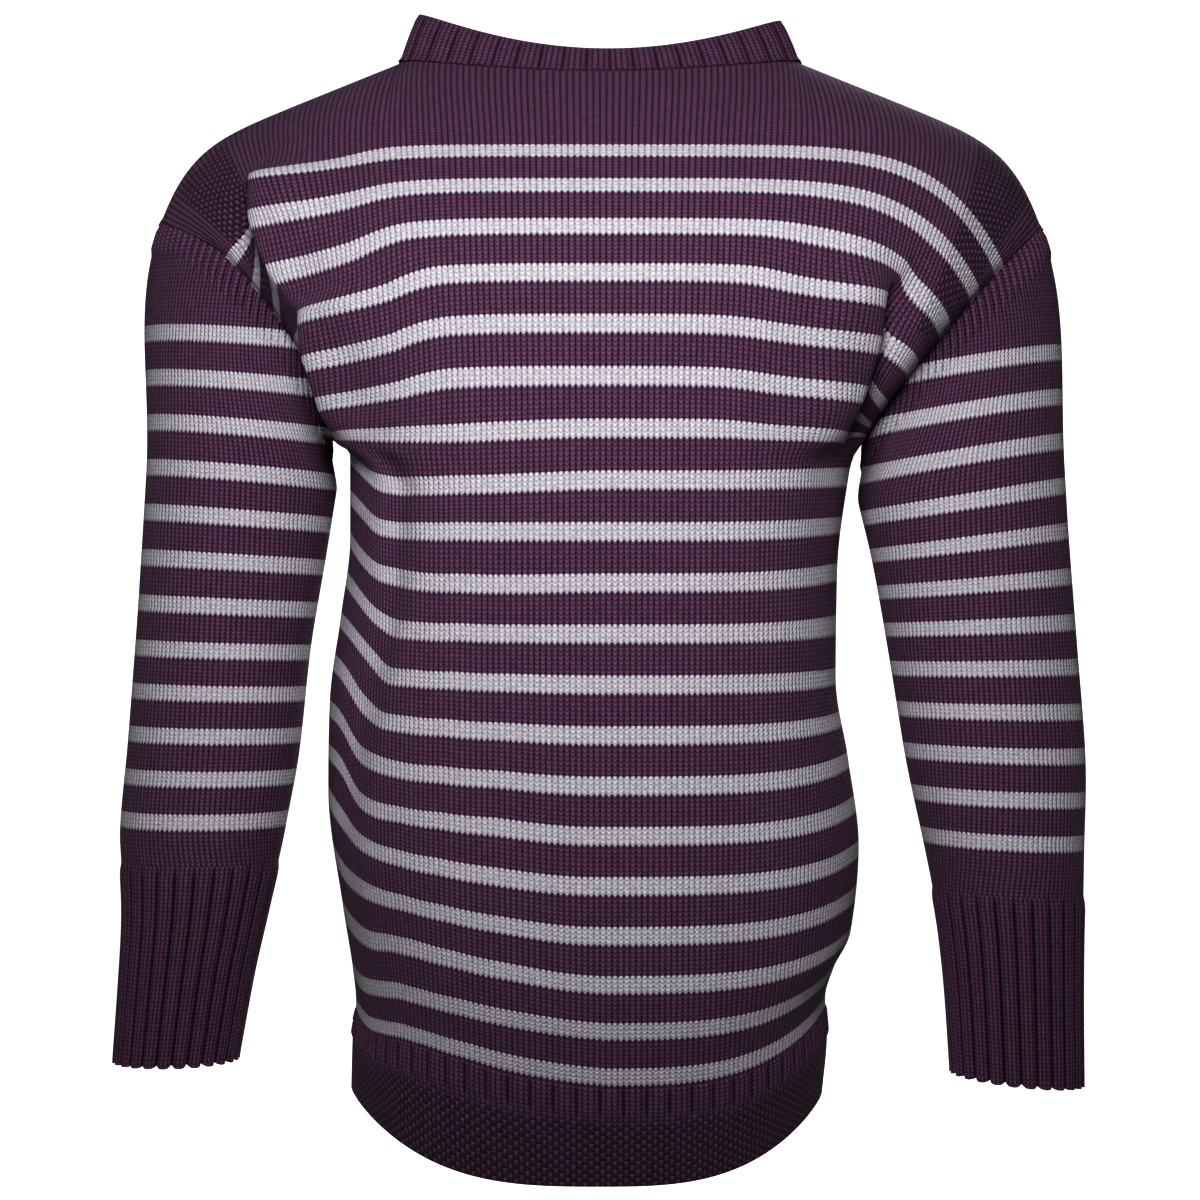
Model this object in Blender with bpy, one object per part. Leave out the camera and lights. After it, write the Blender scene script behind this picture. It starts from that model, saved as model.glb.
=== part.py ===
"""A guernsey fisherman sweater, filled out as if worn, with nobody in it.

Nine knitted pieces make it: a front and a back with drop shoulders, a ribbed neckband, two sleeves
knitted down from the armholes, two ribbed cuffs, and a welt under the front and the back with a
vent at each side. Each is a closed wall of cloth, open wherever the real piece is open.

Sizes are in millimetres and become metres where a mesh is made. +Z is up, +X is to the right as
seen from the front, and the front faces -Y. The origin is where the shoulders carry the sweater:
on the middle line, level with the two ends of the neckband's seam. Left and right are as seen from
the front. Heights down the cloth are counted in courses, the rows of knitting.
"""

import math

import bmesh
import bpy
import numpy as np

MM = 0.001
WALL = 2.5  # thickness of the knitted cloth
SEAM_GAP = 0.3  # clear space left between two pieces at a seam
COURSE = 2.77  # height of one row of knitting
FIRST_STRIPE = 31  # courses from the neckband's seam to the middle of the top stripe
ARMPIT = 101  # course where the armhole ends and the side seam starts
RIB_TOP = 243  # course where the welt starts and the side vent opens
WELT_TOP = 250
HEM = 266
VENT_GAP = 7.0  # open space between the front and back welts at a side

# The body's middle lines, front and back, and how square its sections are in plan.
# droop is the power by which a course falls or rises on its way from the middle to the edge.
MIDDLE = (
    "course front_y front_z front_square back_y back_z back_square droop",
    (FIRST_STRIPE, -75, -75, 2.7, 119, -76, 2.6, 6.5),
    (42, -96, -99, 2.8, 125, -105, 2.6, 6.0),
    (53, -112, -126, 2.9, 129, -134, 2.6, 5.5),
    (64, -122, -155, 3.0, 131, -163, 2.6, 5.0),
    (75, -125, -186, 3.0, 131, -193, 2.6, 4.5),
    (97, -126, -249, 2.9, 129, -253, 2.6, 4.0),
    (152, -125, -403, 2.7, 115, -403, 2.5, 4.5),
    (196, -124, -524, 2.5, 110, -520, 2.4, 4.5),
    (218, -118, -584, 2.4, 110, -575, 2.3, 4.0),
    (240, -101, -642, 2.3, 106, -628, 2.3, 3.6),
    (RIB_TOP, -98, -650, 2.3, 105, -636, 2.3, 3.5),
    (WELT_TOP, -92, -669, 2.3, 103, -653, 2.3, 3.4),
    (HEM, -78, -713, 2.3, 98, -694, 2.3, 3.2),
)

# The side line under each arm.
SIDE = (
    "course left_x left_z right_x right_z side_y",
    (ARMPIT, -177, -246, 169, -250, 10),
    (104, -166, -252, 161, -262, 9),
    (108, -159, -262, 158, -275, 8),
    (130, -159, -312, 151, -334, 6),
    (152, -165, -364, 150, -400, 4),
    (174, -172, -420, 158, -452, 4),
    (196, -173, -474, 165, -508, 4),
    (218, -164, -546, 160, -562, 4),
    (229, -158, -585, 150, -583, 4),
    (240, -156, -607, 144, -605, 4),
    (RIB_TOP, -156, -613, 144, -611, 4),
    (WELT_TOP, -158, -629, 145, -628, 4),
    (HEM, -159, -662, 142, -665, 4),
)

# How far round the armhole each course meets it: 0 at the shoulder, 180 under the arm.
ARMHOLE_TURN = (
    "course turn",
    (FIRST_STRIPE, 48),
    (42, 66),
    (53, 82),
    (64, 97),
    (75, 117),
    (86, 139),
    (97, 166),
    (ARMPIT, 180),
)

# The hollow that runs down between the chest and each arm, and fades out on the ribs.
# at is its place as a share of the half width, deep and wide are in millimetres.
HOLLOW = (
    "course left_at left_deep left_wide right_at right_deep right_wide",
    (FIRST_STRIPE, 0.93, 5, 10, 0.80, 0, 16),
    (42, 0.91, 11, 11, 0.81, 4, 16),
    (64, 0.88, 16, 12, 0.85, 14, 13),
    (86, 0.86, 15, 12, 0.86, 15, 12),
    (ARMPIT, 0.87, 9, 12, 0.88, 9, 12),
    (130, 0.90, 5, 12, 0.92, 5, 12),
    (163, 0.90, 5, 12, 0.95, 0, 11),
    (196, 0.94, 5, 10, 0.95, 4, 9),
    (225, 0.95, 0, 10, 0.95, 0, 9),
    (HEM, 0.95, 0, 10, 0.95, 0, 9),
)

# The shoulder line runs out and down from the neckband and rounds over the top of the arm.
NECK_HALF = 130
NECK_Y = 38
NECK_FRONT = (-9, -15)  # y and z of the seam at the middle of the front
NECK_BACK = (95, -10)
NECK_SIDE_Z = -2
NECK_INSIDE = (0, 45, -95)  # a place under the neck that its seam's wall faces
SHOULDER_SLOPE = 0.42
SHOULDER_POWER = 9
TOP_OF_ARM = {-1: (-285, 25, -110), 1: (286, 25, -113)}
ARMHOLE_FORWARD = {-1: 66, 1: 66}  # how far the seam stands in front of the line down the arm
ARMHOLE_BACK = 60
ARMHOLE_INWARD = {-1: 20, 1: 8}  # how far its middle bends towards the chest

# The neckband stands up from its seam and leans in.
RIM_HALF = 119
RIM_FRONT = (10, 3)
RIM_BACK = (90, 13)
RIM_SIDE = (52, 30)
RIM_TILT = 0.017  # the left end stands a little higher than the right

# Rings down each sleeve. tilt is how much the ring drops for each millimetre away from the body.
LEFT_SLEEVE = (
    "z x y half_width half_depth tilt",
    (-278, -231, 14, 61, 62, -0.08),
    (-320, -235.5, 13, 59, 60, -0.06),
    (-384, -242.5, 10, 56, 57, -0.03),
    (-448, -248, 6, 55, 55, -0.01),
    (-500, -254.5, 2, 52.5, 53, 0.0),
    (-519, -256, 1, 50, 51, 0.0),
    (-552, -259, -1, 45.5, 47, 0.0),
    (-590, -264, -3, 42, 44, 0.0),
    (-644, -270.5, -6, 39, 41, 0.02),
)
RIGHT_SLEEVE = (
    "z x y half_width half_depth tilt",
    (-280, 233, 14, 66, 62, -0.17),
    (-320, 238.5, 13, 63, 60, -0.12),
    (-384, 246, 10, 60.5, 57, -0.02),
    (-448, 253, 6, 58, 55, 0.03),
    (-515, 259, 2, 50.5, 53, 0.05),
    (-538, 261, 1, 48, 50, 0.05),
    (-570, 263, -1, 45, 47, 0.06),
    (-606, 264.5, -3, 43, 44, 0.08),
    (-656, 266, -6, 41.5, 42, 0.10),
)
CUFF_TOP = {-1: -519, 1: -538}
CUFF_END = {-1: -644, 1: -656}

# How finely each piece is divided.
NECK_COLUMNS = 5
SHOULDER_COLUMNS = 7
NECK_SHARE = 0.42  # the part of each half of a panel that lies under the neckband
YOKE_ROWS = 4
ARMHOLE_ROWS = 8
SIDE_ROWS = 10
HEAD_ROWS = 5
SLEEVE_ROWS = 6
CUFF_ROWS = 3
BAND_ROWS = 2

YARN = (0.052, 0.020, 0.045, 1.0)


def column(table, name):
    rows = np.array(table[1:], float)
    return rows[:, 0], rows[:, table[0].split().index(name)]


def hermite(share, start, end, start_slope, end_slope):
    """The cubic that leaves start and reaches end with the given slopes."""
    s2, s3 = share**2, share**3
    return (
        (2 * s3 - 3 * s2 + 1) * start
        + (s3 - 2 * s2 + share) * start_slope
        + (3 * s2 - 2 * s3) * end
        + (s3 - s2) * end_slope
    )


def smooth(table, name, at):
    """One column of a table at any place, on a curve that never overshoots its rows."""
    x, y = column(table, name)
    step = np.diff(x)
    rise = np.diff(y) / step
    slope = np.zeros(len(y))
    slope[0], slope[-1] = rise[0], rise[-1]
    for i in range(1, len(y) - 1):
        if rise[i - 1] * rise[i] > 0:
            slope[i] = 2 * rise[i - 1] * rise[i] / (rise[i - 1] + rise[i])
    if x[0] > x[-1]:
        i = int(np.clip(np.searchsorted(-x, -at) - 1, 0, len(step) - 1))
    else:
        i = int(np.clip(np.searchsorted(x, at) - 1, 0, len(step) - 1))
    share = (at - x[i]) / step[i]
    return hermite(share, y[i], y[i + 1], slope[i] * step[i], slope[i + 1] * step[i])


def unit(v):
    return v / max(np.linalg.norm(v), 1e-9)


def lengths(points):
    return np.concatenate([[0], np.cumsum(np.linalg.norm(np.diff(points, axis=0), axis=1))])


def at_shares(points, shares):
    """Points at given shares of a polyline's length."""
    run = lengths(points)
    want = np.asarray(shares) * run[-1]
    return np.stack([np.interp(want, run, points[:, k]) for k in range(3)], axis=1)


def armhole_point(side, face, turn):
    """A point on the armhole's seam. face is -1 on the front half and 1 on the back half."""
    top = np.array(TOP_OF_ARM[side], float)
    name = "left" if side < 0 else "right"
    under = np.array([smooth(SIDE, k, ARMPIT) for k in (name + "_x", "side_y", name + "_z")])
    middle, along = (top + under) / 2, (top - under) / 2
    inward = unit(np.cross(unit(along), (0, side, 0)))
    out = ARMHOLE_FORWARD[side] if face < 0 else ARMHOLE_BACK
    a = math.radians(turn)
    bend = ARMHOLE_INWARD[side] * math.sin(a)
    return middle + along * math.cos(a) + np.array((0, face * out * math.sin(a), 0)) + inward * bend


def armhole_middle(side):
    """A place in the armhole, straight above its lowest point, that its seam's wall faces."""
    over, under = armhole_point(side, -1, 0), armhole_point(side, -1, 180)
    return np.array((under[0], (over[1] + under[1]) / 2, over[2] - 40))


def edge_point(side, face, course):
    """Where a course ends: on the armhole above the armpit, and on the side line below it."""
    if course < ARMPIT:
        return armhole_point(side, face, smooth(ARMHOLE_TURN, "turn", course))
    name = "left" if side < 0 else "right"
    x, z = smooth(SIDE, name + "_x", course), smooth(SIDE, name + "_z", course)
    open_vent = np.clip((course - RIB_TOP) / (WELT_TOP - RIB_TOP), 0, 1)
    y = smooth(SIDE, "side_y", course) + face * open_vent * VENT_GAP / 2
    if face > 0:
        z += 22 * np.clip((course - RIB_TOP) / (HEM - RIB_TOP), 0, 1)
    return np.array((x, y, z))


def course_line(side, face, course, shares):
    """Half a course of the front or back, from the middle out to the edge."""
    name = "front" if face < 0 else "back"
    middle = np.array((0, smooth(MIDDLE, name + "_y", course), smooth(MIDDLE, name + "_z", course)))
    edge = edge_point(side, face, course)
    square = smooth(MIDDLE, name + "_square", course)
    f = np.sin(np.linspace(0, math.pi / 2, 90))
    bow = 1 - (1 - f**square) ** (1 / square)
    x = edge[0] * f
    y = middle[1] + (edge[1] - middle[1]) * bow
    z = middle[2] + (edge[2] - middle[2]) * f ** smooth(MIDDLE, "droop", course)
    side_name = "left" if side < 0 else "right"
    deep = smooth(HOLLOW, side_name + "_deep", course) * (1 if face < 0 else 0.6)
    wide = smooth(HOLLOW, side_name + "_wide", course)
    away = (f - smooth(HOLLOW, side_name + "_at", course)) * abs(edge[0]) / wide
    dent = np.exp(-(away**2)) * (1 - f**60)
    line = np.stack([x - side * 0.35 * deep * dent, y - face * deep * dent, z], axis=1)
    return at_shares(line, shares)


def column_shares():
    """Shares of a half course: even under the neckband, then closer and closer to the edge."""
    neck = np.linspace(0, NECK_SHARE, NECK_COLUMNS + 1)
    out = 1 - (1 - np.linspace(0, 1, SHOULDER_COLUMNS + 1)) ** 1.35
    return np.concatenate([neck, NECK_SHARE + (1 - NECK_SHARE) * out[1:]])


def top_edge(side, face):
    """The top of half a panel: the neckband's seam, then the shoulder line to the top of the arm."""
    y, z = NECK_FRONT if face < 0 else NECK_BACK
    a = np.linspace(0, math.pi / 2, 40)
    neck = np.stack(
        [
            side * NECK_HALF * np.sin(a),
            NECK_Y + (y - NECK_Y) * np.cos(a),
            NECK_SIDE_Z + (z - NECK_SIDE_Z) * np.cos(a) ** 2,
        ],
        axis=1,
    )
    end = np.array(TOP_OF_ARM[side], float)
    run = np.linspace(0, 1, 60)
    out = run * (abs(end[0]) - NECK_HALF)
    round_over = -end[2] + NECK_SIDE_Z - SHOULDER_SLOPE * out[-1]
    ridge = np.stack(
        [
            side * (NECK_HALF + out),
            NECK_Y + (end[1] - NECK_Y) * run,
            NECK_SIDE_Z - SHOULDER_SLOPE * out - round_over * run**SHOULDER_POWER,
        ],
        axis=1,
    )
    shares = column_shares()
    under_band = shares[: NECK_COLUMNS + 1] / NECK_SHARE
    beyond = (shares[NECK_COLUMNS + 1 :] - NECK_SHARE) / (1 - NECK_SHARE)
    return np.concatenate([at_shares(neck, under_band), at_shares(ridge, beyond)])


def half_panel(side, face):
    """Rows of points from the top edge to the hem, each from the middle out to the edge."""
    shares = column_shares()
    top = top_edge(side, face)
    first = course_line(side, face, FIRST_STRIPE, shares)
    slope = course_line(side, face, FIRST_STRIPE + 2, shares) - first
    chord = np.linalg.norm(first - top, axis=1)[:, None]
    lie = np.clip((shares - NECK_SHARE * 0.6) / (NECK_SHARE * 0.4), 0, 1)[:, None]
    start = np.array((0, face * 0.777, -0.629)) * (1 - lie) + np.array((0, face * 0.98, -0.15)) * lie
    rows = []
    for w in np.linspace(0, 1, YOKE_ROWS + 1)[:-1]:
        row = hermite(w, top, first, start * chord, slope * chord / (2 * COURSE))
        turn = w * smooth(ARMHOLE_TURN, "turn", FIRST_STRIPE)
        row[-1] = armhole_point(side, face, turn)
        rows.append(row)
    rows[0] = top
    for course in course_rows():
        rows.append(course_line(side, face, course, shares))
    return np.array(rows)


def course_rows():
    above = np.linspace(FIRST_STRIPE, ARMPIT, ARMHOLE_ROWS + 1)
    below = np.linspace(ARMPIT, RIB_TOP, SIDE_ROWS + 1)
    return np.concatenate([above, below[1:], [WELT_TOP, (WELT_TOP + HEM) / 2, HEM]])


def panel(face):
    """The whole grid of a front or back, from the left edge to the right edge."""
    left, right = half_panel(-1, face), half_panel(1, face)
    return np.concatenate([left[:, ::-1], right[:, 1:]], axis=1)


def sleeve_ring(side, z, turns):
    """A ring of the sleeve. Turns start on the outside and pass the front first."""
    table = LEFT_SLEEVE if side < 0 else RIGHT_SLEEVE
    x, y, wide, deep, tilt = (
        smooth(table, k, z) for k in ("x", "y", "half_width", "half_depth", "tilt")
    )
    across = side * wide * np.cos(turns)
    return np.stack([x + across, y - deep * np.sin(turns), z - side * across * tilt], axis=1)


def armhole_loop(side):
    """The panels' edge points round an armhole: down the front from the shoulder, up the back."""
    last = YOKE_ROWS + ARMHOLE_ROWS
    front, back = half_panel(side, -1), half_panel(side, 1)
    down, up = front[: last + 1, -1], back[: last + 1, -1]
    return np.concatenate([down, up[::-1][1:-1]])


def sleeve(side):
    """The grid of a sleeve and its cuff, closed round the arm, from the armhole to the cuff's end."""
    loop = armhole_loop(side)
    half = YOKE_ROWS + ARMHOLE_ROWS
    down = lengths(loop[: half + 1])
    up = lengths(np.concatenate([loop[half:], loop[:1]]))
    turns = np.concatenate([down / down[-1] * math.pi, math.pi + up[1:-1] / up[-1] * math.pi])
    table = LEFT_SLEEVE if side < 0 else RIGHT_SLEEVE
    first_z = table[1][0]
    ring = sleeve_ring(side, first_z, turns)
    chord = np.linalg.norm(ring - loop, axis=1)[:, None]
    leave = np.array((side * 0.35, 0, -0.94))
    below = sleeve_ring(side, first_z - 4, turns) - ring
    rows = [
        hermite(w, loop, ring, leave * chord, below / 4 * chord)
        for w in np.linspace(0, 1, HEAD_ROWS + 1)[:-1]
    ]
    for z in np.linspace(first_z, CUFF_TOP[side], SLEEVE_ROWS + 1):
        rows.append(sleeve_ring(side, z, turns))
    for z in np.linspace(CUFF_TOP[side], CUFF_END[side], CUFF_ROWS + 1)[1:]:
        rows.append(sleeve_ring(side, z, turns))
    return np.array(rows)


def neckband_loop():
    """The seam under the neckband: along the front from the left end, and back along the back."""
    front, back = panel(-1)[0], panel(1)[0]
    mid = len(front) // 2
    near = slice(mid - NECK_COLUMNS, mid + NECK_COLUMNS + 1)
    return np.concatenate([front[near], back[near][::-1][1:-1]])


def neckband():
    """The grid of the neckband, from its seam up to its rim."""
    seam = neckband_loop()
    rim = []
    for p in seam:
        across = np.clip(p[0] / NECK_HALF, -1, 1)
        y, z = RIM_FRONT if p[1] < NECK_Y else RIM_BACK
        rise = across**2 if p[1] < NECK_Y else abs(across)
        lean = math.sqrt(max(0.0, 1 - across**2))
        rim.append(
            (
                RIM_HALF * across,
                RIM_SIDE[0] + (y - RIM_SIDE[0]) * lean,
                z + (RIM_SIDE[1] - z) * rise - RIM_TILT * RIM_HALF * across,
            )
        )
    rim = np.array(rim)
    rows = []
    for w in np.linspace(0, 1, BAND_ROWS + 1):
        row = seam + (rim - seam) * w
        row[:, 2] += 1.5 * math.sin(math.pi * w)
        rows.append(row)
    return np.array(rows)


def outward(grid, closed):
    """The outward direction at each point of a grid whose rows run down or up the piece."""
    if closed:
        across = np.roll(grid, -1, axis=1) - np.roll(grid, 1, axis=1)
    else:
        across = np.gradient(grid, axis=1)
    along = np.gradient(grid, axis=0)
    n = np.cross(across, along)
    return n / np.maximum(np.linalg.norm(n, axis=2, keepdims=True), 1e-9)


def across_seam(points, towards, closed=False):
    """Directions from a seam's points to a place inside, square to the seam."""
    if closed:
        run = np.roll(points, -1, axis=0) - np.roll(points, 1, axis=0)
    else:
        run = np.gradient(points, axis=0)
    run /= np.linalg.norm(run, axis=1, keepdims=True)
    d = towards - points
    d -= run * (d * run).sum(axis=1, keepdims=True)
    return d / np.linalg.norm(d, axis=1, keepdims=True)


def pull_back(grid, inner, row=None, col=None):
    """Draws one edge of a piece back from its seam by half the gap."""
    for g in (grid, inner):
        if row is not None:
            step = g[row + (1 if row == 0 else -1)] - g[row]
            g[row] += step / np.linalg.norm(step, axis=-1, keepdims=True) * SEAM_GAP / 2
        else:
            step = g[:, col + (1 if col == 0 else -1)] - g[:, col]
            g[:, col] += step / np.linalg.norm(step, axis=-1, keepdims=True) * SEAM_GAP / 2


def blend(own, seam):
    """Turns the directions beside a seam part of the way to the seam's own."""
    d = own + 0.5 * seam
    return d / np.linalg.norm(d, axis=-1, keepdims=True)


def panel_walls(face):
    """The outer and inner grids of a front or back with its welt."""
    grid = panel(face)
    n = outward(grid, False) * face
    d = -n
    last = YOKE_ROWS + ARMHOLE_ROWS
    mid = grid.shape[1] // 2
    near = slice(mid - NECK_COLUMNS, mid + NECK_COLUMNS + 1)
    loop = neckband_loop()
    whole = across_seam(loop, NECK_INSIDE, closed=True)
    if face < 0:
        d[0, near] = whole[: 2 * NECK_COLUMNS + 1]
    else:
        d[0, near] = np.concatenate([whole[:1], whole[2 * NECK_COLUMNS :][::-1]])
    for side, col in ((-1, 0), (1, -1)):
        turned = across_seam(armhole_loop(side), armhole_middle(side), closed=True)
        if face < 0:
            d[: last + 1, col] = turned[: last + 1]
        else:
            d[: last + 1, col] = np.concatenate([turned[:1], turned[last:][::-1]])
        d[last + 1 :, col] = (-side, 0, 0)
        ridge = slice(1, mid - NECK_COLUMNS) if side < 0 else slice(mid + NECK_COLUMNS + 1, -1)
        run = np.gradient(grid[0], axis=0)[ridge]
        down = np.cross(run, (0, 1, 0))
        down *= np.where(down[:, 2:] > 0, -1, 1)
        d[0, ridge] = down / np.linalg.norm(down, axis=1, keepdims=True)
        beside = col + 1 if col == 0 else col - 1
        d[:, beside] = blend(d[:, beside], d[:, col])
    d[1] = blend(d[1], d[0])
    return grid, grid + d * WALL


def sleeve_walls(side):
    grid = sleeve(side)
    d = -outward(grid, True) * side
    d[0] = across_seam(grid[0], armhole_middle(side), closed=True)
    d[1] = blend(d[1], d[0])
    return grid, grid + d * WALL


def neckband_walls():
    grid = neckband()
    d = -outward(grid, True)
    d[0] = across_seam(grid[0], NECK_INSIDE, closed=True)
    return grid, grid + d * WALL


def wall(name, outer, inner, closed=False):
    """One closed solid between an outer and an inner grid."""
    rows, cols = outer.shape[:2]
    bm = bmesh.new()
    out = [[bm.verts.new(p * MM) for p in row] for row in outer]
    inn = [[bm.verts.new(p * MM) for p in row] for row in inner]
    spans = [(j, (j + 1) % cols) for j in range(cols if closed else cols - 1)]
    for i in range(rows - 1):
        for j, k in spans:
            bm.faces.new((out[i][j], out[i + 1][j], out[i + 1][k], out[i][k]))
            bm.faces.new((inn[i][k], inn[i + 1][k], inn[i + 1][j], inn[i][j]))
        if not closed:
            bm.faces.new((out[i][0], inn[i][0], inn[i + 1][0], out[i + 1][0]))
            bm.faces.new((out[i][-1], out[i + 1][-1], inn[i + 1][-1], inn[i][-1]))
    for j, k in spans:
        bm.faces.new((out[0][j], out[0][k], inn[0][k], inn[0][j]))
        bm.faces.new((out[-1][j], inn[-1][j], inn[-1][k], out[-1][k]))
    bmesh.ops.triangulate(bm, faces=bm.faces)
    bmesh.ops.recalc_face_normals(bm, faces=bm.faces)
    mesh = bpy.data.meshes.new(name)
    bm.to_mesh(mesh)
    bm.free()
    mesh.shade_smooth()
    mesh.set_sharp_from_angle(angle=math.radians(50))
    piece = bpy.data.objects.new(name, mesh)
    bpy.context.scene.collection.objects.link(piece)
    piece.data.materials.append(knit(name))
    return piece


def knit(name):
    material = bpy.data.materials.new("worsted wool, " + name)
    material.use_nodes = True
    shader = material.node_tree.nodes["Principled BSDF"]
    shader.inputs["Base Color"].default_value = YARN
    shader.inputs["Roughness"].default_value = 0.9
    shader.inputs["Metallic"].default_value = 0.0
    return material


def build_panel(face, body_name, welt_name):
    """A front or back, and the welt below it, with gaps at the seams."""
    outer, inner = panel_walls(face)
    cut = YOKE_ROWS + ARMHOLE_ROWS + SIDE_ROWS
    upper = [g[: cut + 1].copy() for g in (outer, inner)]
    lower = [g[cut:].copy() for g in (outer, inner)]
    pull_back(*upper, col=0)
    pull_back(*upper, col=-1)
    pull_back(*upper, row=0)
    pull_back(*upper, row=-1)
    pull_back(*lower, row=0)
    wall(body_name, *upper)
    wall(welt_name, *lower)


def build_sleeve(side, sleeve_name, cuff_name):
    outer, inner = sleeve_walls(side)
    cut = HEAD_ROWS + SLEEVE_ROWS
    upper = [g[: cut + 1].copy() for g in (outer, inner)]
    lower = [g[cut:].copy() for g in (outer, inner)]
    pull_back(*upper, row=0)
    pull_back(*upper, row=-1)
    pull_back(*lower, row=0)
    wall(sleeve_name, *upper, closed=True)
    wall(cuff_name, *lower, closed=True)


def build_neckband():
    outer, inner = neckband_walls()
    pull_back(outer, inner, row=0)
    wall("neckband", outer, inner, closed=True)


for old in list(bpy.data.objects):
    bpy.data.objects.remove(old, do_unlink=True)

build_panel(-1, "front", "welt_front")
build_panel(1, "back", "welt_back")
build_sleeve(-1, "sleeve_left", "cuff_left")
build_sleeve(1, "sleeve_right", "cuff_right")
build_neckband()
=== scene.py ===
"""A guernsey fisherman sweater, filled out as if worn, with nobody in it.

The sweater is knitted in worsted wool, dark aubergine with light grey marl stripes. It is made here
piece by piece in the order a knitter would join it: the front and back with their welts, the
sleeves and cuffs, and the neckband. Shapes are worked out in millimetres and become metres where a
mesh is made. +Z is up and the front faces -Y. Heights down the cloth are counted in courses, the
rows of knitting, and places across it in wales, the columns.
"""

import math

import bmesh
import bpy
import numpy as np
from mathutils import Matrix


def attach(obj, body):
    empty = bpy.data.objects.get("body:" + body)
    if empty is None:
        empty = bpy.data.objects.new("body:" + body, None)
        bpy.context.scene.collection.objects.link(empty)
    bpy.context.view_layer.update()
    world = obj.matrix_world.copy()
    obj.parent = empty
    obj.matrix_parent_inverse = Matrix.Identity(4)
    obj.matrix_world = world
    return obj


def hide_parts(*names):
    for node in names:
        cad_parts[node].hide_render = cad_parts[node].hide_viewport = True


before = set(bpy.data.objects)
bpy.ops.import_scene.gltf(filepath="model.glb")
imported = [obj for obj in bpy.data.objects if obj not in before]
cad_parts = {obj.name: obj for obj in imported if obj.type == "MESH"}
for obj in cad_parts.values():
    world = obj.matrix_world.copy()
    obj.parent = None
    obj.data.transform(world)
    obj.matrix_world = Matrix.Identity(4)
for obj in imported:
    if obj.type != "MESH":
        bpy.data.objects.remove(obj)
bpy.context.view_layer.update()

# ---------------------------------------------------------------------------------------------
# Front. One panel of plain knitting in 5-ply worsted wool, 166 stitches wide, worked up from the
# welt with a stripe of four rows in every eleven. It has no shaping, so the shoulder drops.

MM = 0.001
WALL = 2.5  # thickness of the knitted cloth
COURSE = 2.77  # height of one row of the body
YOKE_COURSE = 2.85  # the yoke is stretched a little by the shoulders
HALF_WALES = 83  # stitches from the middle of a panel to its edge
FIRST_STRIPE = 31  # courses from the neckband's seam to the middle of the top stripe
ARMPIT = 101  # courses from the seam of the neckband, as are the next three
RIB_TOP = 243
WELT_TOP = 250
HEM = 266
VENT_GAP = 7.0  # how far the vents stand open

MIDDLE = (
    "course front_y front_z front_square back_y back_z back_square droop",
    (FIRST_STRIPE, -75, -75, 2.7, 119, -76, 2.6, 6.5),
    (42, -96, -99, 2.8, 125, -105, 2.6, 6.0),
    (53, -112, -126, 2.9, 129, -134, 2.6, 5.5),
    (64, -122, -155, 3.0, 131, -163, 2.6, 5.0),
    (75, -125, -186, 3.0, 131, -193, 2.6, 4.5),
    (97, -126, -249, 2.9, 129, -253, 2.6, 4.0),
    (152, -125, -403, 2.7, 115, -403, 2.5, 4.5),
    (196, -124, -524, 2.5, 110, -520, 2.4, 4.5),
    (218, -118, -584, 2.4, 110, -575, 2.3, 4.0),
    (240, -101, -642, 2.3, 106, -628, 2.3, 3.6),
    (RIB_TOP, -98, -650, 2.3, 105, -636, 2.3, 3.5),
    (WELT_TOP, -92, -669, 2.3, 103, -653, 2.3, 3.4),
    (HEM, -78, -713, 2.3, 98, -694, 2.3, 3.2),
)
SIDE = (
    "course left_x left_z right_x right_z side_y",
    (ARMPIT, -177, -246, 169, -250, 10),
    (104, -166, -252, 161, -262, 9),
    (108, -159, -262, 158, -275, 8),
    (130, -159, -312, 151, -334, 6),
    (152, -165, -364, 150, -400, 4),
    (174, -172, -420, 158, -452, 4),
    (196, -173, -474, 165, -508, 4),
    (218, -164, -546, 160, -562, 4),
    (229, -158, -585, 150, -583, 4),
    (240, -156, -607, 144, -605, 4),
    (RIB_TOP, -156, -613, 144, -611, 4),
    (WELT_TOP, -158, -629, 145, -628, 4),
    (HEM, -159, -662, 142, -665, 4),
)
# How far round the armhole each course meets it: 0 at the shoulder, 180 under the arm.
ARMHOLE_TURN = (
    "course front_left front_right back",
    (FIRST_STRIPE, 70, 62, 48),
    (42, 86, 78, 66),
    (53, 101, 97, 82),
    (64, 116, 118, 97),
    (75, 134, 141, 117),
    (86, 152, 158, 139),
    (97, 171, 172, 166),
    (ARMPIT, 180, 180, 180),
)
HOLLOW = (
    "course left_at left_deep left_wide right_at right_deep right_wide",
    (FIRST_STRIPE, 0.93, 5, 10, 0.80, 0, 16),
    (42, 0.91, 11, 11, 0.81, 4, 16),
    (64, 0.88, 16, 12, 0.85, 14, 13),
    (86, 0.86, 15, 12, 0.86, 15, 12),
    (ARMPIT, 0.87, 9, 12, 0.88, 9, 12),
    (130, 0.90, 5, 12, 0.92, 5, 12),
    (163, 0.90, 5, 12, 0.95, 0, 11),
    (196, 0.94, 5, 10, 0.95, 4, 9),
    (225, 0.95, 0, 10, 0.95, 0, 9),
    (HEM, 0.95, 0, 10, 0.95, 0, 9),
)
NECK_HALF = 130
NECK_Y = 38
NECK_FRONT = (-9, -15)
NECK_BACK = (95, -10)
NECK_SIDE_Z = -2
NECK_SHARE = 0.42
SHOULDER_SLOPE = 0.42
SHOULDER_POWER = 9
TOP_OF_ARM = {-1: (-285, 25, -110), 1: (286, 25, -113)}
ARMHOLE_FORWARD = {-1: 66, 1: 66}
ARMHOLE_BACK = 60
ARMHOLE_INWARD = {-1: 26, 1: 8}

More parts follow.
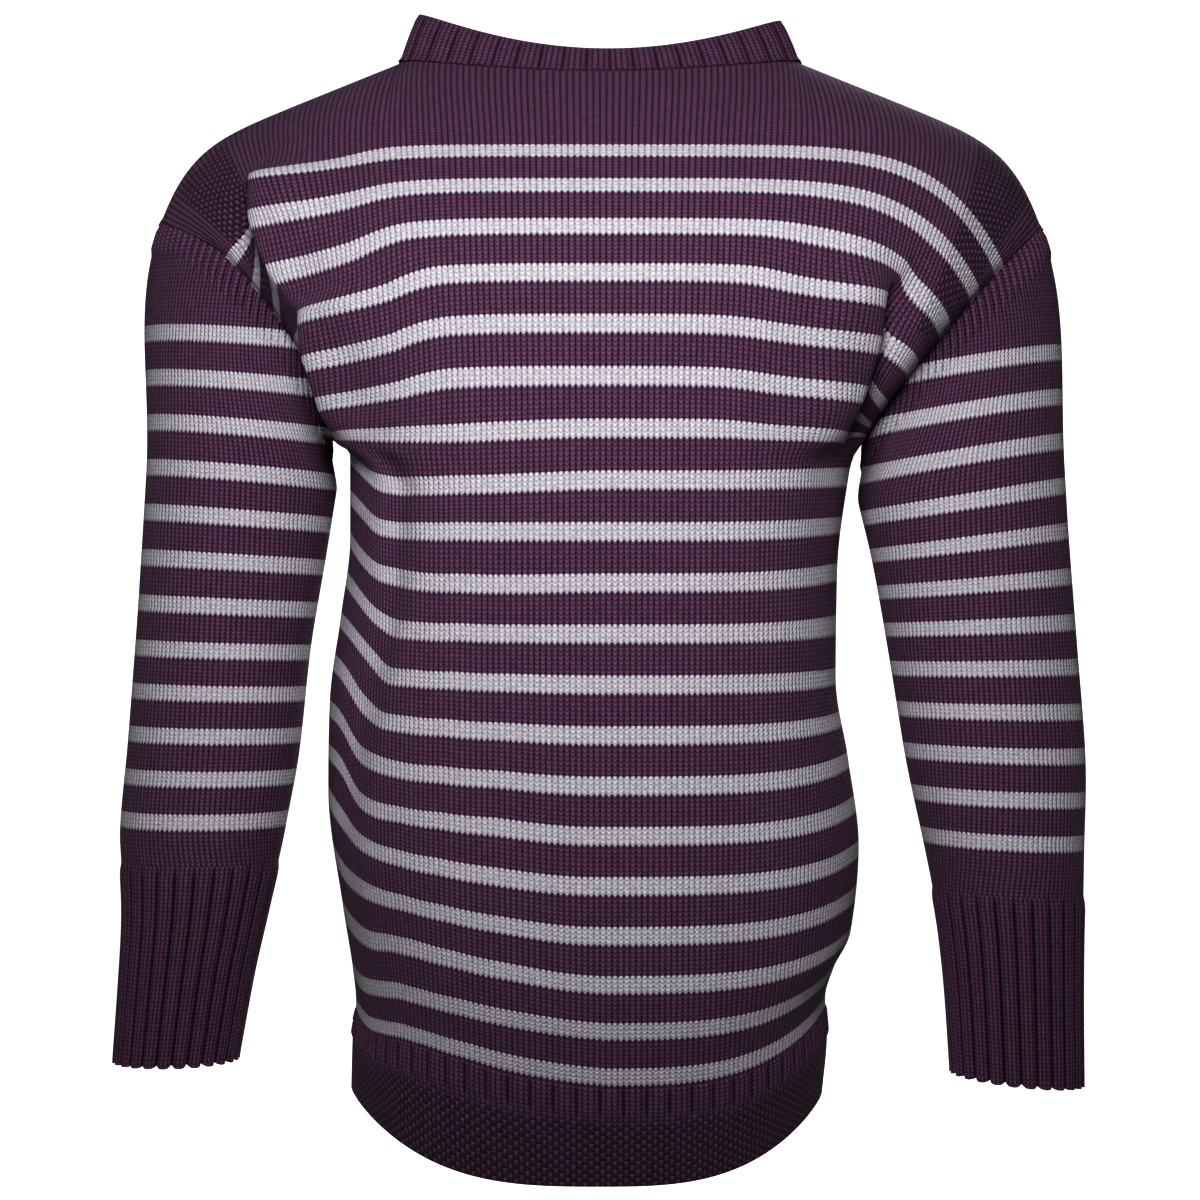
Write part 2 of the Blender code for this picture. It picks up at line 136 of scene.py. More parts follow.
# How wide a stitch is at the middle of the panel. The shoulders stretch the yoke sideways.
STITCH = (
    "course wide",
    (FIRST_STRIPE, 3.95),
    (64, 3.75),
    (97, 3.62),
    (HEM, 3.6),
)
# Where the chest folds over the hollow beside each arm. x is the lip of the fold, over is how far
# each side slides across the other, deep is how far the under side lies back.
LEFT_FOLD = (
    "course x z over deep",
    (20, -226, -78, 0, 0),
    (26, -219, -86, 5, 5),
    (FIRST_STRIPE, -217, -90, 13, 9),
    (42, -214, -120, 16, 10),
    (53, -206, -158, 14, 9),
    (58, -199, -172, 9, 7),
    (62, -186, -178, 10, 8),
    (64, -184, -182, 13, 9),
    (75, -182, -212, 15, 9),
    (86, -176, -235, 13, 8),
    (97, -166, -252, 6, 5),
    (104, -160, -262, 0, 0),
)
RIGHT_FOLD = (
    "course x z over deep",
    (42, 196, -118, 0, 0),
    (53, 186, -144, 3, 3),
    (64, 174, -171, 12, 9),
    (75, 168, -198, 16, 10),
    (86, 160, -228, 15, 10),
    (97, 152, -254, 7, 5),
    (104, 148, -268, 0, 0),
)
# How far the courses of the front wander up where the cloth hangs in a fold beside the left
# seam, at WAVE_AT mm in from the side, and how deep the fold lies and how far in.
WAVE_AT = (0, 10, 22, 34, 50, 75, 110)
WAVE_OUT = {125: 0.66, 140: 0.32, 155: 0.08, 166: 0}  # shares of the last one, to the middle
LEFT_WAVE = (
    "course s0 s10 s22 s34 s50 s75 s110 dent at",
    (86, 0, 0, 0, 0, 0, 0, 0, 0, 44),
    (97, -3, -4, -3, -3, -4, -4, -2, 3, 42),
    (108, 2, -3, -10, -9.5, -7, -4, -2, 6, 38),
    (119, 2, -2, -9, -7, -4, -1, 0, 6, 36),
    (130, 1, -5, -9, -6.5, -5, -2, -1, 6, 34),
    (141, 1, -1, -7, -9, -5, -1, 0, 6, 32),
    (152, 1, 3, -2, -9, -4, 0, 1, 6, 29),
    (163, 2, 5.5, -5, -7, -2.5, 1.5, 2, 6, 26),
    (174, 1, 6, -6.5, -4, -1, 3, 3.5, 5, 22),
    (185, 0.5, 5, -5.5, -4, 1.5, 5, 5, 5, 18),
    (196, 1, -0.5, -2, 0.5, 4.5, 7, 5, 4, 15),
    (207, 0, -4.5, -0.5, 3, 7.5, 9, 6, 3, 12),
    (218, 0, -2, 0, 7, 11, 11, 7, 2, 10),
    (229, 0, -2, 4.4, 9.5, 11, 10.5, 6, 0, 10),
    (RIB_TOP, 0, -2, 4, 9.5, 12, 11.5, 6, 0, 10),
    (HEM, 0, 0, 0, 0, 0, 0, 0, 0, 10),
)
FOLD_WIDE = (16.0, 8.0)  # how soft the lip is, towards the chest and towards the arm
FOLD_REACH = 92  # how far in from the lip the courses are drawn straight towards it

MOSS_FROM_EDGE = 6  # plain wales between the moss band and the armhole
MOSS_WALES = 12
MOSS_ENDS = 58  # the course where it stops

# How finely the mesh is divided
HALF_COLUMNS = 104
YOKE_ROWS = 26
BODY_COURSES = np.concatenate(
    [np.linspace(FIRST_STRIPE, ARMPIT, 61), np.linspace(ARMPIT, RIB_TOP, 113)[1:]]
)


def column(table, name):
    rows = np.array(table[1:], float)
    return rows[:, 0], rows[:, table[0].split().index(name)]


def hermite(share, start, end, start_slope, end_slope):
    """The cubic that leaves start and reaches end with the given slopes."""
    s2, s3 = share**2, share**3
    return (
        (2 * s3 - 3 * s2 + 1) * start
        + (s3 - 2 * s2 + share) * start_slope
        + (3 * s2 - 2 * s3) * end
        + (s3 - s2) * end_slope
    )


def smooth(table, name, at):
    """One column of a table at any place, on a curve that never overshoots its rows."""
    x, y = column(table, name)
    step = np.diff(x)
    rise = np.diff(y) / step
    slope = np.zeros(len(y))
    slope[0], slope[-1] = rise[0], rise[-1]
    for i in range(1, len(y) - 1):
        if rise[i - 1] * rise[i] > 0:
            slope[i] = 2 * rise[i - 1] * rise[i] / (rise[i - 1] + rise[i])
    if x[0] > x[-1]:
        i = int(np.clip(np.searchsorted(-x, -at) - 1, 0, len(step) - 1))
    else:
        i = int(np.clip(np.searchsorted(x, at) - 1, 0, len(step) - 1))
    share = (at - x[i]) / step[i]
    return hermite(share, y[i], y[i + 1], slope[i] * step[i], slope[i + 1] * step[i])


def unit(v):
    return v / np.maximum(np.linalg.norm(v, axis=-1, keepdims=True), 1e-9)


def lengths(points):
    return np.concatenate([[0], np.cumsum(np.linalg.norm(np.diff(points, axis=0), axis=1))])


def at_shares(points, shares):
    """Points at given shares of a polyline's length."""
    run = lengths(points)
    want = np.asarray(shares) * run[-1]
    return np.stack([np.interp(want, run, points[:, k]) for k in range(3)], axis=1)


def armhole_point(side, face, turn):
    """A point on the armhole's seam. face is -1 on the front half and 1 on the back half."""
    top = np.array(TOP_OF_ARM[side], float)
    name = "left" if side < 0 else "right"
    under = np.array([smooth(SIDE, k, ARMPIT) for k in (name + "_x", "side_y", name + "_z")])
    middle, along = (top + under) / 2, (top - under) / 2
    inward = unit(np.cross(unit(along), (0, side, 0)))
    out = ARMHOLE_FORWARD[side] if face < 0 else ARMHOLE_BACK
    a = math.radians(turn)
    bend = ARMHOLE_INWARD[side] * math.sin(a)
    return middle + along * math.cos(a) + np.array((0, face * out * math.sin(a), 0)) + inward * bend


def armhole_turn(side, face, course):
    if face > 0:
        return smooth(ARMHOLE_TURN, "back", course)
    return smooth(ARMHOLE_TURN, "front_left" if side < 0 else "front_right", course)


def edge_point(side, face, course):
    """Where a course ends: on the armhole above the armpit, and on the side line below it."""
    if course < ARMPIT:
        return armhole_point(side, face, armhole_turn(side, face, course))
    name = "left" if side < 0 else "right"
    x, z = smooth(SIDE, name + "_x", course), smooth(SIDE, name + "_z", course)
    open_vent = np.clip((course - RIB_TOP) / (WELT_TOP - RIB_TOP), 0, 1)
    y = smooth(SIDE, "side_y", course) + face * open_vent * VENT_GAP / 2
    if face > 0:
        z += 22 * np.clip((course - RIB_TOP) / (HEM - RIB_TOP), 0, 1)
    return np.array((x, y, z))


def course_line(side, face, course, shares):
    """Half a course of the front or back, from the middle out to the edge."""
    name = "front" if face < 0 else "back"
    middle = np.array((0, smooth(MIDDLE, name + "_y", course), smooth(MIDDLE, name + "_z", course)))
    edge = edge_point(side, face, course)
    square = smooth(MIDDLE, name + "_square", course)
    f = np.sin(np.linspace(0, math.pi / 2, 260))
    bow = 1 - (1 - f**square) ** (1 / square)
    x = edge[0] * f
    y = middle[1] + (edge[1] - middle[1]) * bow
    z = middle[2] + (edge[2] - middle[2]) * f ** smooth(MIDDLE, "droop", course)
    side_name = "left" if side < 0 else "right"
    deep = smooth(HOLLOW, side_name + "_deep", course) * (0.3 if face < 0 else 0.6)
    wide = smooth(HOLLOW, side_name + "_wide", course)
    away = (f - smooth(HOLLOW, side_name + "_at", course)) * abs(edge[0]) / wide
    dent = np.exp(-(away**2)) * (1 - f**60)
    line = np.stack([x - side * 0.35 * deep * dent, y - face * deep * dent, z], axis=1)
    return at_shares(line, shares)


def top_edge(side, face, shares):
    """The top of half a panel: the neckband's seam, then the shoulder line to the top of the arm."""
    y, z = NECK_FRONT if face < 0 else NECK_BACK
    a = np.linspace(0, math.pi / 2, 120)
    neck = np.stack(
        [
            side * NECK_HALF * np.sin(a),
            NECK_Y + (y - NECK_Y) * np.cos(a),
            NECK_SIDE_Z + (z - NECK_SIDE_Z) * np.cos(a) ** 2,
        ],
        axis=1,
    )
    end = np.array(TOP_OF_ARM[side], float)
    run = np.linspace(0, 1, 200)
    out = run * (abs(end[0]) - NECK_HALF)
    round_over = -end[2] + NECK_SIDE_Z - SHOULDER_SLOPE * out[-1]
    ridge = np.stack(
        [
            side * (NECK_HALF + out),
            NECK_Y + (end[1] - NECK_Y) * run,
            NECK_SIDE_Z - SHOULDER_SLOPE * out - round_over * run**SHOULDER_POWER,
        ],
        axis=1,
    )
    under = shares <= NECK_SHARE
    band = at_shares(neck, shares[under] / NECK_SHARE)
    shoulder = at_shares(ridge, (shares[~under] - NECK_SHARE) / (1 - NECK_SHARE))
    return np.concatenate([band, shoulder])


def knitted_line(side, face, course, shares):
    """Half a course with even stitches at the middle; the ones near the edge take up the rest."""
    line = course_line(side, face, course, np.linspace(0, 1, 240))
    even = HALF_WALES * smooth(STITCH, "wide", max(course, FIRST_STRIPE)) / lengths(line)[-1]
    return at_shares(line, even * shares + (1 - even) * shares**3)


def half_panel(side, face, shares, courses):
    """Rows of points from the top edge to the hem, each from the middle out to the edge."""
    top = top_edge(side, face, shares)
    first = knitted_line(side, face, FIRST_STRIPE, shares)
    slope = knitted_line(side, face, FIRST_STRIPE + 2, shares) - first
    chord = np.linalg.norm(first - top, axis=1)[:, None]
    lie = np.clip((shares - NECK_SHARE * 0.6) / (NECK_SHARE * 0.4), 0, 1)[:, None]
    start = np.array((0, face * 0.777, -0.629)) * (1 - lie) + np.array((0, face * 0.98, -0.15)) * lie
    rows = [top]
    for w in np.linspace(0, 1, YOKE_ROWS + 1)[1:-1]:
        row = hermite(w, top, first, start * chord, slope * chord / (2 * COURSE))
        turn = w * armhole_turn(side, face, FIRST_STRIPE)
        row[-1] = armhole_point(side, face, turn)
        rows.append(row)
    for course in courses:
        rows.append(knitted_line(side, face, course, shares))
    return np.array(rows)


def fold_over(grid, course, side, table):
    """Slides the chest outwards over the hollow beside the arm, so that its edge is a soft lip."""
    for row, at in zip(grid, course[:, 0 if side < 0 else -1]):
        if not table[1][0] < at < table[-1][0]:
            continue
        x, z, over, deep = (smooth(table, k, at) for k in ("x", "z", "over", "deep"))
        s = (row[:, 0] - x) * side  # how far past the lip
        order = np.argsort(s)
        held = min(1, over / 8)
        lift = (z - np.interp(0, s[order], row[order, 2])) * held
        far = np.interp(-FOLD_REACH, s[order], row[order, 2])
        line = z + (far - z) * np.clip(-s / FOLD_REACH, 0, 1)
        edge = np.clip(abs(row[:, 0] - row[0 if side < 0 else -1, 0]) / 12, 0, 1)
        near = np.clip((s + FOLD_REACH) / 35, 0, 1) * held * edge
        row[:, 2] = np.where(s < 0, row[:, 2] * (1 - near) + line * near, row[:, 2])
        s = np.where(s < 0, s / FOLD_WIDE[0], s / FOLD_WIDE[1])
        slide = -s * np.exp(0.5 - s**2 / 2) * edge
        back = np.exp(-(((s - 0.9) / 1.1) ** 2)) - 0.35 * np.exp(-(((s + 1.1) / 1.2) ** 2))
        row[:, 2] += np.where(s < 0, 0, lift * np.exp(-(s**2)) * edge)
        row[:, 0] += side * over * slide
        row[:, 1] += deep * back * edge


def hang_in_fold(rows, courses):
    """Moves the courses of the front's left half, which start at the middle, by LEFT_WAVE."""
    for row, course in zip(rows, courses):
        if course <= LEFT_WAVE[1][0]:
            continue
        side = np.argmin(row[:, 0])
        s = row[:, 0] - row[side, 0]
        up = [smooth(LEFT_WAVE, f"s{d}", course) for d in WAVE_AT]
        up += [up[-1] * share for share in WAVE_OUT.values()]
        at = [*WAVE_AT, *WAVE_OUT]
        lift = (np.interp(s - 3, at, up) + np.interp(s, at, up) + np.interp(s + 3, at, up)) / 3
        behind = np.arange(len(row)) > side
        lift[side:] = lift[side] * np.linspace(1, 0, len(row) - side)
        dent, place = (smooth(LEFT_WAVE, k, course) for k in ("dent", "at"))
        valley = np.exp(-(((s - place) / 8) ** 2)) - 0.6 * np.exp(-(((s - place + 17) / 9) ** 2))
        row[:, 2] += lift
        row[:, 1] += np.where(behind, 0, 1.4 * dent * valley)


def panel(face, half_columns, courses):
    """The grid of a front or back, with the wale and the course of each point."""
    columns = 1 - (1 - np.linspace(0, 1, half_columns + 1)) ** 1.12
    columns[np.argmin(abs(columns - NECK_SHARE))] = NECK_SHARE
    left = half_panel(-1, face, columns, courses)
    right = half_panel(1, face, columns, courses)
    if face < 0:
        hang_in_fold(left[YOKE_ROWS:], courses)
    grid = np.concatenate([left[:, ::-1], right[:, 1:]], axis=1)
    across = np.concatenate([-columns[::-1], columns[1:]]) * HALF_WALES
    wale = np.broadcast_to(across, grid.shape[:2])
    above = np.cumsum(np.linalg.norm(np.diff(grid[: YOKE_ROWS + 1], axis=0), axis=2)[::-1], axis=0)
    yoke = FIRST_STRIPE - above[::-1] / YOKE_COURSE
    body = np.broadcast_to(courses[:, None], (len(courses), grid.shape[1]))
    course = np.concatenate([yoke, body])
    if face < 0:
        fold_over(grid, course, -1, LEFT_FOLD)
        fold_over(grid, course, 1, RIGHT_FOLD)
    return grid, wale, course


def outward(grid, closed):
    """The outward direction at each point of a grid whose rows run down the piece."""
    if closed:
        across = np.roll(grid, -1, axis=1) - np.roll(grid, 1, axis=1)
    else:
        across = np.gradient(grid, axis=1)
    return unit(np.cross(across, np.gradient(grid, axis=0)))


def across_seam(points, towards, closed=False):
    """Directions from a seam's points to a place inside, square to the seam."""
    if closed:
        run = np.roll(points, -1, axis=0) - np.roll(points, 1, axis=0)
    else:
        run = np.gradient(points, axis=0)
    run = unit(run)
    d = towards - points
    d -= run * (d * run).sum(axis=1, keepdims=True)
    return unit(d)


def armhole_middle(side):
    """A place in the armhole, straight above its lowest point, that its seam's wall faces."""
    over, under = armhole_point(side, -1, 0), armhole_point(side, -1, 180)
    return np.array((under[0], (over[1] + under[1]) / 2, over[2] - 40))


def panel_walls(face, half_columns, courses):
    """The outer and inner grids of a front or back, its stitch counts, and where it is moss."""
    grid, wale, course = panel(face, half_columns, courses)
    inside = -outward(grid, False) * face
    last = YOKE_ROWS + np.searchsorted(courses, ARMPIT)
    share = abs(wale) / HALF_WALES
    ridge = np.clip(1 - (HALF_WALES - abs(wale)) / 1.6, 0, 1) * (course < ARMPIT - 6)
    grid = grid - inside * (ridge * 1.5)[:, :, None]
    for side, col in ((-1, 0), (1, -1)):
        seam = inside.copy()
        seam[: last + 1, col] = across_seam(grid[: last + 1, col], armhole_middle(side))
        seam[last + 1 :, col] = (-side, 0, 0)
        half = wale[0] * side > 0
        near = np.clip((share[:, half] - 0.93) / 0.07, 0, 1)[:, :, None] ** 2
        inside[:, half] = unit(inside[:, half] * (1 - near) + seam[:, [col]] * near)
    plain_edge = HALF_WALES - MOSS_FROM_EDGE
    moss = np.clip(plain_edge + 0.5 - abs(wale), 0, 1)
    moss = moss * np.clip(abs(wale) - plain_edge + MOSS_WALES + 0.5, 0, 1)
    moss = moss * (course < MOSS_ENDS) * (course > 2)
    return grid, grid + inside * WALL, wale, course, moss


def cloth(name, outer, inner, wale, course, purl=None, moss=None, closed=False):
    """A closed wall of cloth between two grids, with its stitches counted in its UV map.
    purl and moss say how far each point is in a rib's hollow or in moss stitch, from 0 to 1;
    the material paints shade on both, in the grooves of the ribs and in the pits of moss stitch."""
    rows, cols = outer.shape[:2]
    last = rows - 1
    span = np.arange(cols if closed else cols - 1)
    i, j = (g.ravel() for g in np.meshgrid(np.arange(last), span, indexing="ij"))
    faces = [
        [(0, i, j), (0, i + 1, j), (0, i + 1, j + 1), (0, i, j + 1)],
        [(1, i, j), (1, i, j + 1), (1, i + 1, j + 1), (1, i + 1, j)],
        [(0, 0, span), (0, 0, span + 1), (1, 0, span + 1), (1, 0, span)],
        [(0, last, span), (1, last, span), (1, last, span + 1), (0, last, span + 1)],
    ]
    if not closed:
        down, end = np.arange(last), cols - 1
        faces.append([(0, down, 0), (1, down, 0), (1, down + 1, 0), (0, down + 1, 0)])
        faces.append([(0, down, end), (0, down + 1, end), (1, down + 1, end), (1, down, end)])
    corners, stitches = [], []
    for face in faces:
        layer, row, col = (
            np.stack([np.broadcast_arrays(*corner)[k] for corner in face], axis=1) for k in range(3)
        )
        corners.append((layer * rows + row) * cols + col % cols)
        stitches.append(np.stack([wale[row, col], course[row, col]], axis=2))
    corners = np.concatenate(corners)
    stitches = np.concatenate(stitches)
    mesh = bpy.data.meshes.new(name)
    points = np.concatenate([outer.reshape(-1, 3), inner.reshape(-1, 3)]) * MM
    mesh.from_pydata(points.tolist(), [], corners.tolist())
    uv = mesh.uv_layers.new(name="stitches")
    uv.data.foreach_set("uv", stitches.astype(np.float32).ravel())
    bm = bmesh.new()
    bm.from_mesh(mesh)
    bmesh.ops.recalc_face_normals(bm, faces=bm.faces)
    bm.to_mesh(mesh)
    bm.free()
    for key, amount in (("purl", purl), ("moss", moss)):
        mark = mesh.attributes.new(key, "FLOAT", "POINT")
        if amount is not None:
            whole = np.broadcast_to(amount, (2, rows, cols)).astype(np.float32)
            mark.data.foreach_set("value", whole.ravel())
    mesh.shade_smooth()
    mesh.set_sharp_from_angle(angle=math.radians(50))
    piece = bpy.data.objects.new(name, mesh)
    bpy.context.scene.collection.objects.link(piece)
    return piece


def linear(hex_colour):
    """An sRGB hex colour as linear red, green and blue, with alpha."""
    parts = [int(hex_colour[k : k + 2], 16) / 255 for k in (1, 3, 5)]
    return (*(c / 12.92 if c <= 0.04045 else ((c + 0.055) / 1.055) ** 2.4 for c in parts), 1.0)


def add(material, kind, *inputs, out=0, **settings):
    """Adds a node, gives it settings and inputs in order, and returns one of its outputs."""
    tree = material.node_tree
    node = tree.nodes.new("ShaderNode" + kind)
    for key, value in settings.items():
        setattr(node, key, value)
    sockets = [s for s in node.inputs if s.enabled]
    for socket, value in zip(sockets, inputs):
        if isinstance(value, bpy.types.NodeSocket):
            tree.links.new(value, socket)
        elif value is not None:
            socket.default_value = value
    return [s for s in node.outputs if s.enabled][out]


def maths(material, operation, *values, **settings):
    """Adds one step of arithmetic to a material and returns its result."""
    return add(material, "Math", *values, operation=operation, **settings)


# The yarn in the grooves, where its own shadow lies, and on the crown of the thread
GROOVE = linear("#150513")
THREAD = linear("#6C4A67")
STRIPE_GROOVE = linear("#7E7A83")
STRIPE_THREAD = linear("#D0CCD3")
STRIPE_REPEAT = 11  # courses from the middle of one stripe to the next


def worsted_wool(name, first_stripe=None, stripes=0):
    """Plain knitting in worsted wool. Each stitch is two legs that meet in a V, proud of the
    groove on either side, so the cloth reads as upright cords crossed by short slanting threads."""
    m = bpy.data.materials.new(name)
    m.use_nodes = True
    shader = m.node_tree.nodes["Principled BSDF"]
    uv = add(m, "UVMap", uv_map="stitches")
    across = add(m, "SeparateXYZ", uv)
    down = add(m, "SeparateXYZ", uv, out=1)
    wale = maths(m, "FLOOR", across)
    # place in the stitch: 0 at the middle of its wale and 1 in the groove
    middle = maths(m, "SUBTRACT", maths(m, "FRACT", across), 0.5)
    groove = maths(m, "MULTIPLY", maths(m, "ABSOLUTE", middle), 2.0)
    slant = maths(m, "MULTIPLY_ADD", groove, 0.62, down)
    along = maths(m, "SUBTRACT", maths(m, "FRACT", slant), 0.5)
    along = maths(m, "MULTIPLY", maths(m, "ABSOLUTE", along), 2.0)
    leg = maths(m, "SUBTRACT", 1.0, maths(m, "POWER", along, 2.0))
    cord = maths(m, "SUBTRACT", 1.0, maths(m, "POWER", groove, 2.6))
    # height of the yarn, and how much light reaches it
    height = maths(m, "MULTIPLY_ADD", leg, 0.45, maths(m, "MULTIPLY", cord, 0.75))
    lit = maths(m, "MULTIPLY", maths(m, "MULTIPLY_ADD", leg, 0.72, 0.28), cord)
    # the purl wales of a rib lie in shadow
    purl = add(m, "Attribute", attribute_name="purl", out=2)
    lit = maths(m, "MULTIPLY", maths(m, "MULTIPLY_ADD", purl, -0.92, 1.0), lit)
    # in moss stitch every other stitch is turned and leaves a pit, which the bump dents and which is darkened
    # with painted shade
    moss = add(m, "Attribute", attribute_name="moss", out=2)
    turned = maths(m, "ADD", wale, maths(m, "FLOOR", down))
    turned = maths(m, "MULTIPLY", maths(m, "FLOORED_MODULO", turned, 2.0), moss)
    lit = maths(m, "MULTIPLY", lit, maths(m, "MULTIPLY_ADD", turned, -0.7, 1.0))
    height = maths(m, "MULTIPLY_ADD", turned, -1.0, height)
    # no two stitches are quite alike, and the yarn is hairy
    stitch = add(m, "CombineXYZ", wale, maths(m, "FLOOR", slant))
    uneven = add(m, "TexWhiteNoise", stitch, noise_dimensions="2D")
    fibre = add(m, "TexNoise", uv, None, 2.3, 2.0, 0.6, noise_dimensions="2D")
    shade = maths(m, "MULTIPLY_ADD", uneven, 0.22, 0.71)
    shade = maths(m, "MULTIPLY_ADD", fibre, 0.35, shade)
    lit = maths(m, "MULTIPLY", lit, shade)
    colour = add(m, "Mix", lit, GROOVE, THREAD, data_type="RGBA")
    if stripes:
        # away is how far a place is from the middle of its stripe, in courses. A stripe's edges
        # are zigzags, because the legs of its first and last stitches reach past the row.
        count = maths(m, "SUBTRACT", down, first_stripe - STRIPE_REPEAT / 2)
        away = maths(m, "FRACT", maths(m, "MULTIPLY", count, 1 / STRIPE_REPEAT))
        away = maths(m, "MULTIPLY_ADD", away, STRIPE_REPEAT, -STRIPE_REPEAT / 2)
        top = maths(m, "MULTIPLY_ADD", maths(m, "POWER", groove, 2.4), 0.6, -2.15)
        bottom = maths(m, "MULTIPLY_ADD", groove, -0.65, 2.25)
        below_top = maths(m, "GREATER_THAN", away, top)
        above_bottom = maths(m, "LESS_THAN", away, bottom)
        after = maths(m, "GREATER_THAN", count, 0.0)
        before = maths(m, "LESS_THAN", count, STRIPE_REPEAT * stripes)
        mask = maths(m, "MULTIPLY", below_top, above_bottom)
        mask = maths(m, "MULTIPLY", mask, maths(m, "MULTIPLY", after, before))
        # the marl is light and mid grey fibres spun together
        marl = add(m, "TexNoise", uv, None, 1.9, 1.0, 0.5, noise_dimensions="2D")
        marl = maths(m, "MULTIPLY_ADD", marl, 1.2, -0.32)
        light = maths(m, "MULTIPLY_ADD", lit, 0.62, marl, use_clamp=True)
        stripe = add(m, "Mix", light, STRIPE_GROOVE, STRIPE_THREAD, data_type="RGBA")
        colour = add(m, "Mix", mask, colour, stripe, data_type="RGBA")
    fuzz = maths(m, "MULTIPLY_ADD", fibre, 0.25, height)
    bump = add(m, "Bump", 0.85, 0.0012)
    m.node_tree.links.new(fuzz, bump.node.inputs["Height"])
    m.node_tree.links.new(colour, shader.inputs["Base Color"])
    m.node_tree.links.new(bump, shader.inputs["Normal"])
    shader.inputs["Roughness"].default_value = 0.92
    shader.inputs["Specular IOR Level"].default_value = 0.2
    shader.inputs["Sheen Weight"].default_value = 0.12
    shader.inputs["Sheen Roughness"].default_value = 0.5
    shader.inputs["Sheen Tint"].default_value = linear("#A78FA8")
    return m


BODY_STRIPES = 20
BODY_WOOL = worsted_wool("worsted wool, plain knit body", FIRST_STRIPE, BODY_STRIPES)

outer, inner, wale, course, moss = panel_walls(-1, HALF_COLUMNS, BODY_COURSES)
front = cloth("sweater_front", outer, inner, wale, course, moss=moss)
front.data.materials.append(BODY_WOOL)
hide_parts("front")
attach(front, "root")

# ---------------------------------------------------------------------------------------------
# Back. The same panel as the front, joined to it along the shoulders and down the sides.

outer, inner, wale, course, moss = panel_walls(1, HALF_COLUMNS, BODY_COURSES)
back = cloth("sweater_back", outer, inner, wale, course, moss=moss)
back.data.materials.append(BODY_WOOL)
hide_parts("back")
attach(back, "root")

# ---------------------------------------------------------------------------------------------
# Welts. A rib band and then a dotted garter welt under each panel, worked separately at the front
# and the back, so that a vent is left at each side.

RIB_WALES = 4
RIB_HEIGHT = 1.3  # from the groove of a rib to half its crown
WELT_COLUMNS = 208
WELT_COURSES = np.linspace(RIB_TOP, HEM, 24)
WELT_WOOL = worsted_wool("worsted wool, ribbed and dotted welt")


def ribs(wale, wide):
    """The height of a rib from -1 in its groove to 1 on its crown."""
    place = np.abs(np.mod(wale / wide, 1) - 0.5) * 2
    return 1 - 2 * place**3


def welt(face, name, node):
    """The ribbed and dotted band below a panel."""
    walls = panel_walls(face, WELT_COLUMNS, np.concatenate([[FIRST_STRIPE, ARMPIT], WELT_COURSES]))
    outer, inner, wale, course, _ = (g[YOKE_ROWS + 2 :] for g in walls)
    rib = np.clip((WELT_TOP - course) / 0.6, 0, 1) * np.clip((course - RIB_TOP) / 0.6, 0, 1)
    lift = unit(outer - inner) * (ribs(wale, RIB_WALES) * RIB_HEIGHT * rib)[:, :, None]
    # painted shade: hollow darkens the grooves between the ribs of the rib band
    hollow = np.clip(0.1 - 1.3 * ribs(wale, RIB_WALES), 0, 1) * rib
    # the dots of the welt are moss pits, darkened with painted shade in the material
    dotted = np.clip(course - WELT_TOP - 0.5, 0, 1)
    piece = cloth(name, outer + lift, inner + lift, wale, course, purl=hollow, moss=dotted)
    piece.data.materials.append(WELT_WOOL)
    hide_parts(node)
    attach(piece, "root")


welt(-1, "front_welt", "welt_front")
welt(1, "back_welt", "welt_back")

# ---------------------------------------------------------------------------------------------
# Sleeves. Stitches are picked up round each armhole and worked down, twelve stripes long. The head
# is a band of upright ribs that follows the seam.

SLEEVE_WALE = 3.33  # width of a stitch
SLEEVE_FIRST_STRIPE = 25
SLEEVE_STRIPES = 12
SLEEVE_COLUMNS = 440
HEAD_ROWS = 30
ARM_ROWS = 38
CUFF_ROWS = 28
CUFF_TOP = {-1: -519, 1: -538}
CUFF_END = {-1: -644, 1: -656}
HEAD_RIB_DEEP = 21.0  # the ribbed band along the armhole
LEFT_SLEEVE = (
    "z x y half_width half_depth tilt",
    (-278, -231, 14, 61, 62, -0.08),
    (-320, -235.5, 13, 59, 60, -0.06),
    (-384, -242.5, 10, 56, 57, -0.03),
    (-448, -248, 6, 55, 55, -0.01),
    (-500, -254.5, 2, 52.5, 53, 0.0),
    (-519, -256, 1, 50, 51, 0.0),
    (-552, -259, -1, 45.5, 47, 0.0),
    (-590, -264, -3, 42, 44, 0.0),
    (-644, -270.5, -6, 39, 41, 0.02),
)
RIGHT_SLEEVE = (
    "z x y half_width half_depth tilt",
    (-280, 233, 14, 66, 62, -0.17),
    (-320, 238.5, 13, 63, 60, -0.12),
    (-384, 246, 10, 60.5, 57, -0.02),
    (-448, 253, 6, 58, 55, 0.03),
    (-515, 259, 2, 50.5, 53, 0.05),
    (-538, 261, 1, 48, 50, 0.05),
    (-570, 263, -1, 45, 47, 0.06),
    (-606, 264.5, -3, 43, 44, 0.08),
    (-656, 266, -6, 41.5, 42, 0.10),
)
SLEEVE_COURSES = {
    -1: ("z course", (-110, -4), (-186, 25), (-272, 58), (-384, 102), (-491, 146), (-519, 157)),
    1: ("z course", (-110, -11), (-204, 25), (-290, 58), (-395, 102), (-504, 146), (-538, 160)),
}
SLEEVE_WOOL = worsted_wool("worsted wool, plain knit sleeve", SLEEVE_FIRST_STRIPE, SLEEVE_STRIPES)


def sleeve_ring(side, z, turns):
    """A ring of the sleeve. Turns start on the outside and pass the front first."""
    table = LEFT_SLEEVE if side < 0 else RIGHT_SLEEVE
    x, y, wide, deep, tilt = (
        smooth(table, k, z) for k in ("x", "y", "half_width", "half_depth", "tilt")
    )
    across = side * wide * np.cos(turns)
    return np.stack([x + across, y - deep * np.sin(turns), z - side * across * tilt], axis=1)


